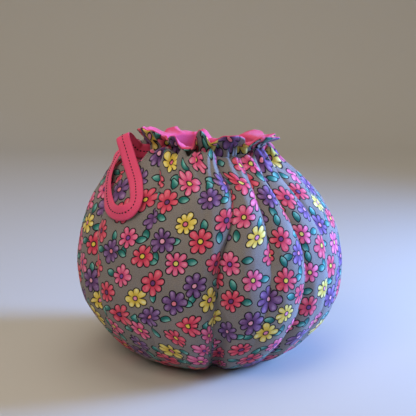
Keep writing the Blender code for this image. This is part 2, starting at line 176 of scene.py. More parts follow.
# The frill's rim: azimuth, how far it flares out from the casing, and how far it rises.
frillRim = [
    (-90, 0.5, 2.0), (-83, 1.0, 3.5), (-72, 3.0, 5.5), (-65, 6.5, 5.0), (-58, 9.0, 6.5),
    (-52, 7.0, 4.8), (-44, 9.0, 5.8), (-38.5, 8.0, 4.0), (-34.5, 5.0, 1.0), (-31.5, 4.0, -2.6),
    (-28.5, 8.5, 1.8), (-23.4, 10.5, 3.2), (-21.8, 9.5, -3.0), (-19.5, 6.0, -7.0),
    (-14, 5.0, -7.4), (-10, 5.0, -6.0), (-7.4, 6.5, 0.5), (-4.2, 8.0, 8.2), (0.6, 6.0, 3.6), (4.6, 2.5, -2.4), (8.8, 7.5, -0.2),
    (14, 11.0, 3.2), (22, 12.0, 3.4), (30, 10.5, 0.6), (35, 5.0, -5.2), (38.5, 4.5, -6.2),
    (42, 9.0, -1.8), (47, 12.5, 0.3), (57, 13.0, -0.9), (70, 12.0, -3.0), (80, 8.0, -4.4),
    (90, 3.0, -5.0), (99, 7.5, -4.6), (112, 11.0, -6.4), (120, 7.0, -8.0), (130, 10.5, -6.0),
    (144, 9.0, -4.6), (150, 7.0, -8.0), (156, 7.5, -13.0), (165, 9.5, -15.0), (172, 8.0, -12.0),
    (176, 6.0, -7.5), (181.7, 7.5, -2.6), (185, 5.0, -7.0), (189.5, 2.0, -11.0), (194.5, 5.0, -8.4),
    (199, 6.0, -7.6), (203.8, 5.0, -7.8), (206.4, 8.0, -3.6), (213, 8.5, -5.0), (222, 3.5, -8.4),
    (227, 7.5, -4.0), (233, 9.0, -1.8), (240, 8.5, -1.6), (250, 4.0, -3.0), (258, 7.0, -0.4),
    (270, 0.5, 2.0),
]


def linked(item):
    bpy.context.collection.objects.link(item)
    return item


# A mesh object from points in metres, with the flat cloth as its UV map where it is given.
def newPiece(name, points, faces, uvs=None):
    mesh = bpy.data.meshes.new(name)
    mesh.from_pydata(points, [], faces)
    if uvs is not None:
        layer = mesh.uv_layers.new(name="flatCloth")
        layer.data.foreach_set("uv", np.array(uvs).ravel())
    mesh.shade_smooth()
    return linked(bpy.data.objects.new(name, mesh))


# Smooth curve through the values that never swings past them.
def smoothThrough(knots, values, places):
    x = np.asarray(knots, float)
    y = np.asarray(values, float)
    run = np.diff(x)
    slope = np.diff(y) / run
    lean = np.zeros_like(y)
    for k in range(1, len(x) - 1):
        before, after = slope[k - 1], slope[k]
        if before * after > 0.0:
            a = 2.0 * run[k] + run[k - 1]
            b = run[k] + 2.0 * run[k - 1]
            lean[k] = (a + b) / (a / before + b / after)
    lean[0], lean[-1] = slope[0], slope[-1]
    places = np.clip(places, x[0], x[-1])
    k = np.clip(np.searchsorted(x, places) - 1, 0, len(x) - 2)
    t = (places - x[k]) / run[k]
    return (
        y[k] * (2 * t**3 - 3 * t**2 + 1) + lean[k] * run[k] * (t**3 - 2 * t**2 + t)
        + y[k + 1] * (3 * t**2 - 2 * t**3) + lean[k + 1] * run[k] * (t**3 - t**2)
    )


def softStep(value):
    value = np.clip(value, 0.0, 1.0)
    return value * value * (3.0 - 2.0 * value)


# Every row of the cloth from the hem's inner edge to the rim, with its place along the cloth.
def clothRows():
    table = np.array(list(cosyLevels.values()))
    steps = np.hypot(np.diff(table[:, 0]), np.diff(table[:, 1]))
    along = np.concatenate([[0.0], np.cumsum(steps)])
    places = []
    marks = {}
    for k, length in enumerate(steps):
        marks[levelNames[k]] = len(places)
        step = clothShape["neckRowStep"] if table[k, 0] > 158.0 else clothShape["rowStep"]
        count = max(2, round(length / step))
        places += list(along[k] + length * np.arange(count) / count)
    marks[levelNames[-1]] = len(places)
    places = np.array(places + [along[-1]])
    names = ("height", "radius", "shift", "tilt", "puff", "foldShare", "ruffle", "wall", "pleat")
    rows = {name: smoothThrough(along, table[:, k], places) for k, name in enumerate(names)}
    rows["along"] = places
    rise = np.gradient(rows["height"], places)
    shrink = np.gradient(rows["radius"], places)
    length = np.hypot(rise, shrink)
    rows["outward"] = rise / length
    rows["upward"] = -shrink / length
    ring = [1.0 if name in ("casingFoot", "casingTop") else 0.0 for name in levelNames]
    rows["ring"] = smoothThrough(along, ring, places)
    rows["puff"] = np.maximum(rows["puff"], 0.0)
    return rows, marks


rows, rowMarks = clothRows()


def slitOpening(slit):
    bottom, top, half = slit
    share = np.clip((rows["height"] - bottom) / (top - bottom), 0.0, 1.0)
    return clothShape["seamGap"] / 2 + half * np.sin(np.pi * share) ** 0.5


# Azimuth and depth of each fold at each row, with the panel's two sides drawn back at the slits.
def foldTracks(panel):
    folds = frontFolds if panel == "front" else backFolds
    azimuths = []
    depths = []
    for fold in folds:
        azimuths.append(smoothThrough(foldHeights, fold[3::-1], rows["height"]))
        depths.append(smoothThrough(foldHeights, fold[:3:-1], rows["height"]))
    azimuths = np.array(azimuths)
    depths = np.array(depths)
    first, last = (leftSlit, rightSlit) if panel == "front" else (rightSlit, leftSlit)
    sideRadius = rows["radius"] - depths[0]
    azimuths[0] += np.degrees(slitOpening(first) / sideRadius)
    azimuths[-1] -= np.degrees(slitOpening(last) / sideRadius)
    return azimuths, depths


def ruffleAt(azimuth):
    places, flares, rises = np.array(frillRim).T
    turned = (azimuth + 90.0) % 360.0 - 90.0
    return smoothThrough(places, flares, turned), smoothThrough(places, rises, turned)


def neckDip(azimuth):
    away = np.abs(azimuth - clothShape["neckDipAzimuth"]) / clothShape["neckDipWidth"]
    return clothShape["neckDip"] * softStep(1.6 * (1.0 - away))


def pressedShare(azimuth):
    away = np.abs((azimuth - clothShape["pressedAzimuth"] + 180.0) % 360.0 - 180.0)
    fade = clothShape["pressedFade"]
    return softStep((fade - away) / (fade - clothShape["pressedWidth"]))


def noiseOver(xs, ys, zs):
    flat = zip(np.ravel(xs), np.ravel(ys), np.ravel(zs))
    values = np.fromiter((noise.noise(Vector(point)) for point in flat), float)
    return values.reshape(np.shape(xs))


# One of the uneven parts; without a height it runs straight up and down.
def clothWave(name, azimuth, height=None):
    across, up, seed, strength = clothNoise[name]
    level = up if height is None else height / up
    return strength * noiseOver(azimuth / across, level + 0 * azimuth, seed + 0 * azimuth)


# The print-side surface of a panel, as radius, azimuth and height of each point.
def panelSurface(panel):
    azimuths, depths = foldTracks(panel)
    steps = clothShape["lobeSteps"]
    lobes = len(azimuths) - 1
    even = np.arange(steps) / steps
    shares = even - clothShape["crowdToFold"] * np.sin(2 * np.pi * even)
    lobe = np.append(np.repeat(np.arange(lobes), steps), lobes - 1)
    share = np.append(np.tile(shares, lobes), 1.0)
    azimuth = (azimuths[lobe] + (azimuths[lobe + 1] - azimuths[lobe]) * share[:, None]).T

    wide = clothShape["foldRound"]

    def trough(away, gape=0.0):
        near = np.minimum((1.0 - away) * (1.0 + gape), 1.0)
        return (
            wide * near ** clothShape["foldRoundPower"]
            + (1.0 - wide) * near ** clothShape["foldCreasePower"]
        )

    gape = np.zeros((2, *depths.shape))     # at a fold's right side and its left side
    if panel == "front":
        low = softStep((openFold["top"] - rows["height"]) / openFold["fade"])
        gape[0, openFold["fold"]] = openFold["openRight"] * low
        gape[1, openFold["fold"]] = openFold["openLeft"] * low
    valley = (
        depths[lobe] * trough(share[:, None], gape[0, lobe])
        + depths[lobe + 1] * trough(1 - share[:, None], gape[1, lobe + 1])
    ).T
    column = {name: values[:, None] for name, values in rows.items()}

    # small pleats of uneven width, with narrow valleys
    phase = np.pi * azimuth / clothShape["pleatPitch"]
    phase = phase + clothWave("pleatWander", azimuth, column["height"])
    ridge = np.abs(np.sin(phase)) ** 0.8
    pleat = column["pleat"] * (1.0 - ridge) * (1.0 + clothWave("pleatDepth", azimuth))

    flare, rise = ruffleAt(azimuth)
    turn = np.radians(azimuth)
    radius = column["radius"] - column["foldShare"] * valley + flare * column["ruffle"] - pleat

    if panel == "front":
        near = softStep(1.5 * (1.0 - np.abs(azimuth - lowLobe["azimuth"]) / lowLobe["width"]))
        low = softStep((lowLobe["top"] - column["height"]) / lowLobe["fade"])
        radius = radius + lowLobe["out"] * near * low * softStep(column["height"] / 16.0)

    # soft unevenness of the padding, and fine drag lines that run up and down
    x = radius * np.sin(turn)
    y = radius * np.cos(turn)
    height = column["height"] + 0 * azimuth
    (start, startFade), (end, endFade) = clothShape["looseFrom"], clothShape["looseTo"]
    loose = softStep((height - start) / startFade) * softStep((end - height) / endFade)
    across, up, strength = clothShape["paddingWave"]
    soft = strength * noiseOver(x / across, y / across, height / up)
    drag = clothWave("drag", azimuth, height)
    pucker = clothWave("pucker", azimuth, height)
    nearFold = np.maximum(trough(share), trough(1 - share))[None, :] * np.clip(valley / 6.0, 0.0, 1.0)
    radius = radius + loose * (soft + drag + pucker * nearFold)

    height = height + rise * column["ruffle"]
    height = height - neckDip(azimuth) * softStep((column["height"] - 146.0) / 16.0)
    height = height + column["tilt"] * np.cos(turn - math.radians(clothShape["tiltAzimuth"]))
    puff = column["puff"] * (1.0 - pressedShare(azimuth)) * (1.0 + clothWave("puffHeight", azimuth))
    puff = puff * softStep((rise + 15.5) / 8.0)      # flat under a flap that hangs down
    return {
        "azimuth": azimuth, "radius": radius, "height": height, "puff": puff,
        "share": share, "lobe": lobe, "depths": depths, "rise": rise,
    }


# Points of one face of a cloth, set in from the print side by an inset for each row.
def facePoints(surface, inset, lining):
    inset = np.broadcast_to(inset, rows["along"].shape)[:, None]
    radius = surface["radius"] - rows["outward"][:, None] * inset
    height = surface["height"] - rows["upward"][:, None] * inset
    if lining is None:
        height = height + surface["puff"]
    else:
        ring = rows["ring"][:, None]
        radius = radius + (lining - radius) * ring
        low = ring * (rows["height"][:, None] < 170.0)
        height = height - clothShape["liningNeckDrop"] * low
        # over the casing's top where the frill turns down outside
        start, fade = clothShape["turnedRise"]
        casingTop = cosyLevels["casingTop"][0]
        turned = softStep((start - surface["rise"]) / fade) * (rows["height"][:, None] > casingTop)
        height = height + 4.0 * ring * (1.0 - ring) * clothShape["liningBridge"] * turned
    turn = np.radians(surface["azimuth"])
    x = rows["shift"][:, None] + radius * np.sin(turn) + clothShape["middle"][0]
    y = clothShape["middle"][1] - radius * np.cos(turn)
    return np.stack([x, y, np.maximum(height, 0.0)], axis=-1)


# The way the print side looks at each point, as a smoothed unit vector.
def faceNormals(surface, points):
    normal = np.cross(np.gradient(points, axis=1), np.gradient(points, axis=0))
    for _ in range(3):
        normal[:, 1:-1] = (normal[:, :-2] + 2 * normal[:, 1:-1] + normal[:, 2:]) / 4
    normal /= np.linalg.norm(normal, axis=2)[:, :, None] + 1e-9
    # at the side seams both panels' layers lie straight behind each other
    turn = np.radians(surface["azimuth"])
    aside = np.stack([np.cos(turn), np.sin(turn), 0 * turn], axis=-1)
    column = np.arange(points.shape[1])
    seam = 1.0 - softStep(np.minimum(column, column[::-1]) / 6.0)
    lean = (normal * aside).sum(axis=2) * seam
    normal = normal - lean[:, :, None] * aside
    return normal / np.linalg.norm(normal, axis=2)[:, :, None]


# Where each column lies on the flat cloth. Cloth that the neck and foot don't need goes out of
# sight in the folds, most of it in the deepest, so each point has a place on either side of it.
def flatWidths(surface, points):
    step = np.linalg.norm(np.diff(points, axis=1), axis=2)
    total = step.sum(axis=1)
    usable = slice(rowMarks["foot"], rowMarks["top"])
    width = total[usable].max()
    spare = np.maximum(width - total, 0.0)
    depths = surface["depths"][1:-1].T ** 2 + 0.3
    tuck = spare[:, None] * depths / depths.sum(axis=1)[:, None]
    steps = clothShape["lobeSteps"]
    before = np.concatenate([np.zeros((len(step), 1)), np.cumsum(step, axis=1)], axis=1)
    after = before.copy()
    for k in range(tuck.shape[1]):
        column = (k + 1) * steps
        before[:, column + 1:] += tuck[:, k:k + 1]
        after[:, column:] += tuck[:, k:k + 1]
    return before, after, width


# Closed sheet between two grids of points, with rounded edges and its flat cloth as UV map.
def sheetMesh(name, face, back, before, after, edgeRound, hole=None):
    count, wide = face.shape[:2]
    verts = [face.reshape(-1, 3), back.reshape(-1, 3)]
    total = 2 * count * wide
    faces = []
    uvs = []
    v = rows["along"][-count:]

    def uvAt(row, column, side):
        return ((after if side else before)[row, column] * mm, v[row] * mm)

    for row in range(count - 1):
        for column in range(wide - 1):
            if hole and hole[0] <= row < hole[1] and hole[2] <= column < hole[3]:
                continue
            a = row * wide + column
            quad = (a, a + 1, a + 1 + wide, a + wide)
            spots = [
                uvAt(row, column, True), uvAt(row, column + 1, False),
                uvAt(row + 1, column + 1, False), uvAt(row + 1, column, True),
            ]
            faces.append(quad)
            uvs += spots
            faces.append(tuple(k + count * wide for k in quad[::-1]))
            uvs += spots[::-1]

    def edge(path, inner, rounds):
        nonlocal total
        loops = [[r * wide + c for r, c in path]]
        a = np.array([face[r, c] for r, c in path])
        b = np.array([back[r, c] for r, c in path])
        inside = np.array([face[r, c] for r, c in inner])
        out = a - inside
        out /= np.linalg.norm(out, axis=1)[:, None] + 1e-9
        reach = np.asarray(rounds)
        for angle in (45.0, 90.0, 135.0):
            turn = math.radians(angle)
            ring = (a + b) / 2 + (a - b) / 2 * math.cos(turn)
            ring = ring + out * (reach * math.sin(turn))[:, None]
            ring[:, 2] = np.maximum(ring[:, 2], 0.0)
            verts.append(ring)
            loops.append(list(range(total, total + len(path))))
            total += len(path)
        loops.append([count * wide + r * wide + c for r, c in path])
        for low, high in zip(loops, loops[1:]):
            for k in range(len(path) - 1):
                faces.append((low[k + 1], low[k], high[k], high[k + 1]))
                here = uvAt(*path[k], True)
                there = uvAt(*path[k + 1], True)
                uvs.extend([there, here, here, there])

    top, side = count - 1, wide - 1
    edge([(0, c) for c in range(wide)], [(1, c) for c in range(wide)], edgeRound["bottom"])
    edge([(r, side) for r in range(count)], [(r, side - 1) for r in range(count)], edgeRound["last"])
    edge([(top, c) for c in range(side, -1, -1)], [(top - 1, c) for c in range(side, -1, -1)],
         edgeRound["top"])
    edge([(r, 0) for r in range(top, -1, -1)], [(r, 1) for r in range(top, -1, -1)],
         edgeRound["first"][::-1])
    if hole:
        r0, r1, c0, c1 = hole
        ring = [(r, c0) for r in range(r0, r1)] + [(r1, c) for c in range(c0, c1)]
        ring += [(r, c1) for r in range(r1, r0, -1)] + [(r0, c) for c in range(c1, c0 - 1, -1)]
        edge(ring, ring, np.zeros(len(ring)))

    return newPiece(name, (np.concatenate(verts) * mm).tolist(), faces, uvs)


def edgeRounds(panel, wall):
    first, last = (leftSlit, rightSlit) if panel == "front" else (rightSlit, leftSlit)
    room = {"first": slitOpening(first), "last": slitOpening(last)}
    return {
        key: np.minimum(0.42 * wall, np.maximum(opening[-len(wall):] - 0.05, 0.0))
        for key, opening in room.items()
    }


# A panel of the printed shell with its padding, and the lining behind it.
def makePanel(panel):
    surface = panelSurface(panel)
    face = facePoints(surface, 0.0, None)
    normals = faceNormals(surface, face)
    aboveCasing = rows["along"] - rows["along"][rowMarks["casingTop"]]
    loose = softStep(aboveCasing / clothShape["turnFade"])[:, None, None]

    # a layer behind the print side: plain up to the casing, along the cloth's own normals above it
    def layer(inset, lining):
        plain = facePoints(surface, inset, lining)
        free = face - normals * np.asarray(inset)[:, None, None]
        return plain + (free - plain) * loose

    back = layer(rows["wall"], None)
    before, after, width = flatWidths(surface, face)
    steps = clothShape["lobeSteps"]
    hole = None
    if panel == "front":
        left, right = (steps + round(steps * share) for share in clothShape["buttonhole"])
        hole = (rowMarks["casingFoot"] + 1, rowMarks["casingTop"], left, right)
    rounds = edgeRounds(panel, rows["wall"])
    wide = len(surface["share"])
    rounds["bottom"] = np.full(wide, clothShape["hemRound"])
    rounds["top"] = np.full(wide, clothShape["rimRound"])
    outer = sheetMesh("printed-shell-" + panel, face, back, before, after, rounds, hole)

    start = rowMarks["hemFlat"]
    toRim = softStep(aboveCasing / clothShape["rimFade"])
    gap, wall, neck = clothShape["liningGap"], clothShape["liningWall"], clothShape["liningNeck"]
    innerNeck = neck - wall
    gap = gap + (clothShape["rimGap"] - gap) * toRim
    wall = wall + (clothShape["liningRimWall"] - wall) * toRim
    liningFace = layer(rows["wall"] + gap, neck)[start:]
    liningBack = layer(rows["wall"] + gap + wall, innerNeck)[start:]
    rounds = edgeRounds(panel, wall[start:])
    rounds["bottom"] = np.full(wide, clothShape["liningHemRound"])
    rounds["top"] = np.full(wide, clothShape["rimRound"])
    lining = sheetMesh(
        "pink-lining-" + panel, liningFace, liningBack, before[start:], after[start:], rounds
    )
    length = rows["along"][-1]
    return outer, lining, (width * mm, length * mm), (width * mm, (length - rows["along"][start]) * mm)


pieces = {}
for panel in ("front", "back"):
    outer, lining, outerFlat, liningFlat = makePanel(panel)
    pieces["outer_" + panel] = outer
    pieces["lining_" + panel] = lining
    print("panel", panel, "flat", [round(size, 4) for size in outerFlat],
          "triangles", 2 * len(outer.data.polygons), 2 * len(lining.data.polygons))


# The tape: a ring in the casing and a loop that hangs outside, on the same route as the solid.
tapeShape = {
    "width": 11.6,
    "wall": 1.0,
    "cup": 0.35,           # how far its edges curl back
    "ringRadius": 42.4,
    "height": 171.2,
    "legAside": 0.85,
    "legTurn": 2.2,
    "legTurnSteps": 8,
    "frontLeg": (45.0, 47.5, 52.0),
    "backLeg": (53.0, 47.5, 45.0),
    "ringSteps": 120,
    "loopSteps": 300,
}
# A point of the loop and the way its outer face looks.
loopRoute = [
    (-56.5, -21.0, 172.5, -0.30, 0.95, 0.05),
    (-61.0, -24.5, 178.0, 0.05, 0.95, 0.35),
    (-65.0, -29.5, 184.0, -0.20, 0.75, 0.65),
    (-67.5, -34.5, 186.1, -0.45, 0.05, 0.90),
    (-66.9, -39.0, 183.1, -0.40, -0.80, 0.50),
    (-64.4, -43.5, 176.4, -0.25, -0.95, 0.15),
    (-60.8, -51.0, 166.6, -0.28, -0.88, 0.38),
    (-56.6, -60.6, 156.2, -0.38, -0.76, 0.55),
    (-55.1, -70.0, 149.5, -0.45, -0.68, 0.57),
    (-54.8, -75.1, 144.7, -0.47, -0.70, 0.52),
    (-56.1, -78.7, 140.2, -0.50, -0.76, 0.38),
    (-59.6, -79.6, 136.2, -0.53, -0.82, 0.18),
    (-64.3, -78.5, 133.6, -0.56, -0.82, 0.05),
    (-69.6, -74.1, 132.6, -0.60, -0.79, 0.05),
    (-74.3, -68.3, 133.9, -0.66, -0.70, 0.20),
    (-77.5, -59.8, 137.7, -0.80, -0.36, 0.45),
    (-79.0, -51.0, 143.8, -0.86, -0.15, 0.50),
    (-79.3, -42.9, 149.8, -0.86, -0.06, 0.52),
    (-78.9, -35.4, 155.2, -0.80, -0.10, 0.58),
    (-77.3, -27.0, 160.3, -0.78, -0.03, 0.62),
    (-74.7, -17.0, 165.7, -0.68, -0.02, 0.73),
    (-70.9, -10.5, 170.4, -0.30, -0.20, 0.93),
    (-63.0, -12.0, 172.5, 0.25, -0.70, 0.65),
]
buttonhole = math.radians(-69.0)


def ringPoint(azimuth, radius, aside=0.0):
    x = cosyLevels["casingTop"][2] + radius * math.sin(azimuth) + aside * math.cos(azimuth)
    y = -radius * math.cos(azimuth) + aside * math.sin(azimuth)
    return Vector((x, y, tapeShape["height"]))


def legTurn(side):
    points = []
    count = tapeShape["legTurnSteps"]
    for step in range(count + 1):
        angle = math.pi / 2 * step / count
        radius = tapeShape["ringRadius"] + tapeShape["legTurn"] * (1.0 - math.cos(angle))
        aside = tapeShape["legAside"] + tapeShape["legTurn"] * (1.0 - math.sin(angle))
        points.append(ringPoint(buttonhole, radius, side * aside))
    return points


def ringStations():
    reach = (tapeShape["legAside"] + tapeShape["legTurn"]) / tapeShape["ringRadius"]
    start = buttonhole - reach
    span = 2.0 * math.pi - 2.0 * reach
    count = tapeShape["ringSteps"]
    middle = []
    for step in range(1, count):
        azimuth = start - span * step / count
        point = ringPoint(azimuth, tapeShape["ringRadius"])
        point.z -= float(neckDip(math.degrees(azimuth) % 360.0))
        middle.append(point)
    return legTurn(-1)[::-1] + middle + legTurn(1)


def curveThrough(knots, steps):
    knots = np.array(knots, float)
    spans = len(knots) - 3
    places = spans * np.arange(steps + 1) / steps
    k = np.minimum(places.astype(int), spans - 1)
    t = (places - k)[:, None]
    a, b, c, d = knots[k], knots[k + 1], knots[k + 2], knots[k + 3]
    return 0.5 * (
        2 * b + (c - a) * t + (2 * a - 5 * b + 4 * c - d) * t**2 + (3 * b - a - 3 * c + d) * t**3
    )


# Middle, width direction and outer face direction of the tape, loop first and then the ring.
def tapeStations():
    aside = Vector((math.cos(buttonhole), math.sin(buttonhole), 0.0))
    legAside = tapeShape["legAside"]
    knots = [(*ringPoint(buttonhole, radius, legAside), *(-aside)) for radius in tapeShape["frontLeg"]]
    knots += loopRoute
    knots += [(*ringPoint(buttonhole, radius, -legAside), *aside) for radius in tapeShape["backLeg"]]
    loop = curveThrough(knots, tapeShape["loopSteps"])
    ring = np.array([tuple(point) for point in ringStations()])
    middle = np.concatenate([loop[:, :3], ring])
    ahead = np.roll(middle, -1, axis=0) - np.roll(middle, 1, axis=0)
    ahead /= np.linalg.norm(ahead, axis=1)[:, None]
    width = np.tile([0.0, 0.0, -1.0], (len(middle), 1))
    width[:len(loop)] = np.cross(ahead[:len(loop)], loop[:, 3:])
    width /= np.linalg.norm(width, axis=1)[:, None]
    outer = np.cross(width, ahead)
    middle += np.array([*clothShape["middle"], 0.0])
    return middle, width, outer, len(loop)


def makeTape():
    middle, width, outer, loopCount = tapeStations()
    half = tapeShape["width"] / 2
    wall = tapeShape["wall"] / 2
    section = []          # across, out, and place across for the UV map
    across = np.linspace(-1.0, 1.0, 9)
    for k in across:
        section.append((k, 1.0 if abs(k) < 0.99 else 0.45))
    for k in across[::-1]:
        section.append((k, -1.0 if abs(k) < 0.99 else -0.45))
    gap = np.linalg.norm(np.roll(middle, -1, axis=0) - middle, axis=1)
    along = np.concatenate([[0.0], np.cumsum(gap)])
    count = len(middle)
    reach = np.arange(count) / loopCount
    loose = np.sin(np.pi * np.clip(reach, 0.0, 1.0)) ** 0.5
    points = []
    for k, side in section:
        curl = -tapeShape["cup"] * k * k * loose
        points.append(middle + width * half * k + outer * (wall * side + curl)[:, None])
    points = np.stack(points, axis=1)
    ring = len(section)
    faces = []
    uvs = []
    for step in range(count):
        there = (step + 1) % count
        for k in range(ring):
            m = (k + 1) % ring
            faces.append((step * ring + k, step * ring + m, there * ring + m, there * ring + k))
            kAcross, mAcross = section[k][0] * half, section[m][0] * half
            uvs += [(along[step] * mm, kAcross * mm), (along[step] * mm, mAcross * mm),
                    (along[step + 1] * mm, mAcross * mm), (along[step + 1] * mm, kAcross * mm)]
    piece = newPiece("drawstring-tape", (points.reshape(-1, 3) * mm).tolist(), faces, uvs)
    lines = [middle[:loopCount] + outer[:loopCount] * side * (wall + 0.05) for side in (1.0, -1.0)]
    return piece, middle, along[-1], lines


tape, tapeMiddle, tapeLength, stitchLines = makeTape()
print("tape", round(tapeLength, 1), "mm long")


# Materials. Each is made in its own node tree, and arithmetic on a Value makes the Math nodes.
making = {"tree": None}


class Value:
    def __init__(self, socket):
        self.socket = socket

    def __add__(self, other):
        return calc("ADD", self, other)

    def __sub__(self, other):
        return calc("SUBTRACT", self, other)

    def __rsub__(self, other):
        return calc("SUBTRACT", other, self)

    def __mul__(self, other):
        return calc("MULTIPLY", self, other)

    def __truediv__(self, other):
        return calc("DIVIDE", self, other)

    def __rtruediv__(self, other):
        return calc("DIVIDE", other, self)

    def __mod__(self, other):
        return calc("FLOORED_MODULO", self, other)

    def __pow__(self, other):
        return calc("POWER", self, other)

    def __abs__(self):
        return calc("ABSOLUTE", self)


def newNode(kind, **settings):
    node = making["tree"].nodes.new(kind)
    for name, value in settings.items():
        setattr(node, name, value)
    return node


# A number, a colour or another node's output goes into a socket.
def feed(socket, value):
    if isinstance(value, Value):
        making["tree"].links.new(value.socket, socket)
    elif isinstance(value, tuple):
        socket.default_value = (*value, 1.0)
    else:
        socket.default_value = value


def newMaterial(name, roughness, sheen):
    material = bpy.data.materials.new(name)
    material.use_nodes = True
    making["tree"] = material.node_tree
    shader = material.node_tree.nodes["Principled BSDF"]
    shader.inputs["Roughness"].default_value = roughness
    shader.inputs["Sheen Weight"].default_value = sheen
    shader.inputs["Sheen Roughness"].default_value = 0.5
    shader.inputs["Specular IOR Level"].default_value = 0.25
    return material, shader


def calc(operation, *values, clamp=False):
    node = newNode("ShaderNodeMath", operation=operation, use_clamp=clamp)
    for socket, value in zip(node.inputs, values):
        feed(socket, value)
    return Value(node.outputs[0])


def mixColour(factor, first, second, blend="MIX"):
    node = newNode("ShaderNodeMix", data_type="RGBA", blend_type=blend)
    for key, value in ((0, factor), (6, first), (7, second)):
        feed(node.inputs[key], value)
    return Value(node.outputs[2])


# 1 below low, 0 above high, soft between them.
def below(value, low, high):
    node = newNode("ShaderNodeMapRange", interpolation_type="SMOOTHSTEP")
    names = ("Value", "From Min", "From Max", "To Min", "To Max")
    for name, part in zip(names, (value, low, high, 1.0, 0.0)):
        feed(node.inputs[name], part)
    return Value(node.outputs["Result"])


def colourSteps(value, colours):
    node = newNode("ShaderNodeValToRGB")
    ramp = node.color_ramp
    ramp.interpolation = "CONSTANT"
    ramp.elements[0].color = (*colours[0], 1.0)
    ramp.elements.remove(ramp.elements[-1])
    for k, colour in enumerate(colours[1:], 1):
        ramp.elements.new(k / len(colours)).color = (*colour, 1.0)
    feed(node.inputs["Fac"], value)
    return Value(node.outputs["Color"])


def vectorOf(*parts):
    node = newNode("ShaderNodeCombineXYZ")
    for socket, value in zip(node.inputs, parts):
        feed(socket, value)
    return Value(node.outputs[0])


def toned(colour, tone):
    return mixColour(1.0, colour, vectorOf(tone, tone, tone), "MULTIPLY")


# Three random numbers for a place.
def chance(x, y, seed):
    node = newNode("ShaderNodeTexWhiteNoise", noise_dimensions="3D")
    feed(node.inputs["Vector"], vectorOf(x, y, seed))
    parts = newNode("ShaderNodeSeparateColor")
    feed(parts.inputs[0], Value(node.outputs["Color"]))
    return [Value(part) for part in parts.outputs]


def cloud(vector, scale, detail=2.0, rough=0.5):
    node = newNode("ShaderNodeTexNoise")
    feed(node.inputs["Vector"], vector)
    for name, part in zip(("Scale", "Detail", "Roughness"), (scale, detail, rough)):
        feed(node.inputs[name], part)
    return Value(node.outputs["Fac"])


def bumpOf(height, strength, distance, under=None):
    node = newNode("ShaderNodeBump")
    feed(node.inputs["Strength"], strength)
    feed(node.inputs["Distance"], distance)
    feed(node.inputs["Height"], height)
    if under is not None:
        feed(node.inputs["Normal"], under)
    return Value(node.outputs["Normal"])


# Sizes in mm.
flowerPrint = {
    "pitch": 30.6,           # each cell of the repeat has two flowers
    "jitter": 2.3,
    "size": (0.90, 0.16),    # smallest, and how much larger it may be
    "petals": 7.0,           # or one more
    "reach": (5.8, 2.0),     # from the centre to a petal's round end, shortest and spread
    "petalShare": (0.60, 0.24),
    "petalWaist": 0.42,
    "petalLean": 0.07,
    "core": 3.7,             # inside it the petals are one
    "disc": 1.55,
    "ring": 2.45,
    "outline": 0.80,
    "otherDisc": 0.55,       # share with the first kind of centre
}
leafShape = {
    "long": 4.1,
    "wide": 2.3,
    "toFlower": 3.3,
    "jitter": 1.0,
    "lean": 0.30,
    "chance": 0.62,
}
# Where the watercolour fades, from and to, and how strong it is.
petalWash = {
    "centre": (3.6, 7.6, 0.85),
    "middle": (0.15, 0.95),
    "outer": (-8.2, -3.4),
    "rim": (0.0, 0.75, 0.22),
    "meeting": (0.10, 0.40, 0.22),
    "meetingEnd": (6.0, 7.0),
}
# The repeat, charted: r red, p pink, v violet, y yellow. A line is one column of flowers.
flowerChart = ("rvpyr", "prvrp", "vryvr", "rvprv", "vrpyr", "yprvp")
flowerKinds = "rpvy"
flowerColours = {
    "deep": ((0.50, 0.020, 0.055), (0.55, 0.030, 0.130), (0.080, 0.026, 0.115), (0.62, 0.38, 0.030)),
    "main": ((0.74, 0.070, 0.125), (0.80, 0.120, 0.250), (0.170, 0.070, 0.215), (0.82, 0.62, 0.090)),
    "light": ((0.87, 0.220, 0.260), (0.90, 0.340, 0.460), (0.400, 0.250, 0.450), (0.92, 0.84, 0.400)),
    "disc": ((0.85, 0.62, 0.080), (0.80, 0.66, 0.150), (0.80, 0.210, 0.270), (0.76, 0.150, 0.230)),
    "otherDisc": ((0.16, 0.04, 0.17), (0.24, 0.07, 0.36), (0.84, 0.36, 0.48), (0.82, 0.27, 0.42)),
}
printGround = (0.235, 0.205, 0.180)
printInk = (0.010, 0.008, 0.012)
leafColours = ((0.006, 0.125, 0.105), (0.020, 0.250, 0.205), (0.330, 0.660, 0.560))


# The place in a square repeat: which cell, and how far from its middle.
def repeatCell(u, v, shift):
    pitch = flowerPrint["pitch"]
    cell = []
    away = []
    for place, part in ((u, shift[0]), (v, shift[1])):
        line = place / pitch + part
        cell.append(calc("FLOOR", line))
        away.append((line - cell[-1] - 0.5) * pitch)
    return *cell, *away


def jittered(value, random, jitter):
    return value + (random - 0.5) * (2 * jitter)


# A shape's colour inside its edge, ink round it, and the ground outside.
def outlined(edge, soft, ground, colour):
    line = flowerPrint["outline"]
    colour = mixColour(below(edge, -soft, 0.10), printInk, colour)
    return mixColour(below(edge, line - 0.05, line + 0.22), ground, colour)


